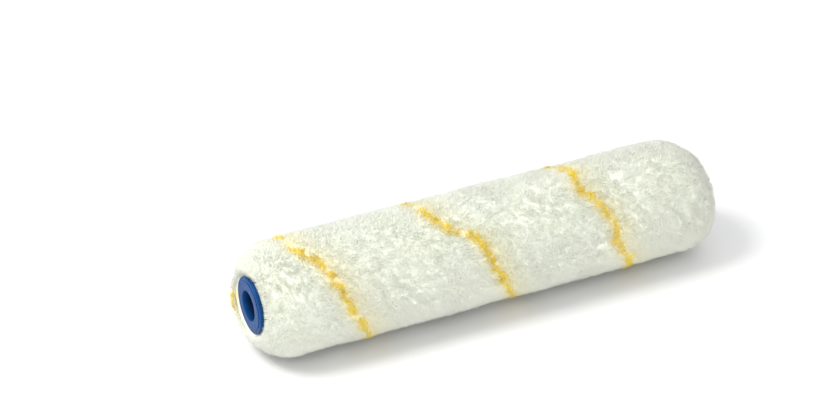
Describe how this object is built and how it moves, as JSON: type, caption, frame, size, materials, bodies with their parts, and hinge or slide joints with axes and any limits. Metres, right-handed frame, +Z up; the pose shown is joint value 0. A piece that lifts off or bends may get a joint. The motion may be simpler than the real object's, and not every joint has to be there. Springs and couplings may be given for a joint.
{
  "type": "paint roller cover",
  "caption": "Long-pile paint roller cover on a plastic core tube, with a flanged push-in bush at each end that turns on a straight wire rod.",
  "frame": {"origin": "on the roller's axis, half way between the pile's two ends", "axes": "+X along the roller's axis towards the far bush, -X towards the near bush where the rod enters, +Z up"},
  "size_m": [0.1497, 0.035, 0.0346],
  "materials": {
    "pale_pile": "long soft pile",
    "yellow_pile": "long soft pile",
    "backing": "woven",
    "bonding_film": "melted film",
    "core_tube": "extruded",
    "blue_plastic": "moulded satin"
  },
  "bodies": {
    "root": {"pale_pile": "pale_pile", "stripe_pile": "yellow_pile", "backing_strip": "backing", "bonding_film": "bonding_film", "core_tube": "core_tube", "near_end_bush": "blue_plastic", "far_end_bush": "blue_plastic"}
  },
  "joints": []
}
